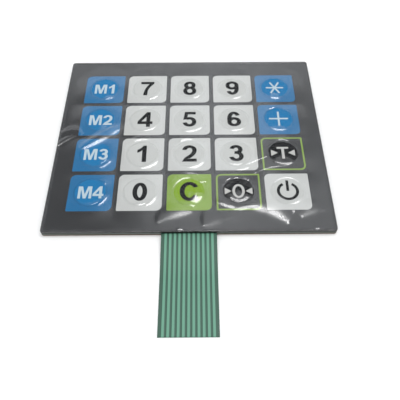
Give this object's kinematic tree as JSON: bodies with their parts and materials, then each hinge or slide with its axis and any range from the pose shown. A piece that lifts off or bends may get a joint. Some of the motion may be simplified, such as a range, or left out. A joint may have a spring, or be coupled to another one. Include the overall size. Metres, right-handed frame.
{
  "type": "membrane keypad",
  "caption": "Flexible membrane keypad with embossed keys over snap domes, a peelable protective film, a self-adhesive back and a flat printed tail.",
  "frame": {"origin": "centre of the panel's rear face, on the release liner", "axes": "+Z out of the front of the keys, +X to the right as the keys are read, +Y towards the top row of keys, away from the tail"},
  "size_m": [0.096, 0.115, 0.0025],
  "materials": {
    "kraft_liner": "matt brown silicone-coated paper",
    "foam_tape": "matt dark foam with adhesive on both faces",
    "circuit_polyester": "clear polyester, slightly hazy",
    "silver_print": "matt printed silver",
    "green_coat": "translucent green insulating print",
    "spacer_polyester": "dark polyester with adhesive on both faces",
    "dome_steel": "bright stainless spring steel",
    "retainer_film": "translucent polyester",
    "clear_adhesive": "clear transfer adhesive",
    "overlay_polyester": "fine matt textured polyester",
    "dark_ink": "satin dark grey print",
    "blue_ink": "satin blue print",
    "white_ink": "satin white print",
    "green_ink": "satin yellow-green print",
    "clear_film": "clear glossy film, loosely wrinkled"
  },
  "bodies": {
    "root": {"release_liner": "kraft_liner", "mounting_tape": "foam_tape", "circuit_film": "circuit_polyester", "row_conductors": "silver_print", "column_conductors": "silver_print", "guard_conductor": "silver_print", "crossover_bridges": "silver_print", "insulating_coat": "green_coat", "dome_spacer": "spacer_polyester", "dome_m1": "dome_steel", "dome_7": "dome_steel", "dome_8": "dome_steel", "dome_9": "dome_steel", "dome_star": "dome_steel", "dome_m2": "dome_steel", "dome_4": "dome_steel", "dome_5": "dome_steel", "dome_6": "dome_steel", "dome_plus": "dome_steel", "dome_m3": "dome_steel", "dome_1": "dome_steel", "dome_2": "dome_steel", "dome_3": "dome_steel", "dome_tare": "dome_steel", "dome_m4": "dome_steel", "dome_0": "dome_steel", "dome_clear": "dome_steel", "dome_zero": "dome_steel", "dome_power": "dome_steel", "dome_retainer": "retainer_film", "overlay_adhesive": "clear_adhesive", "graphic_overlay": "overlay_polyester", "ink_ground": "dark_ink", "ink_blue": "blue_ink", "ink_white": "white_ink", "ink_green": "green_ink", "protective_film": "clear_film"}
  },
  "joints": []
}
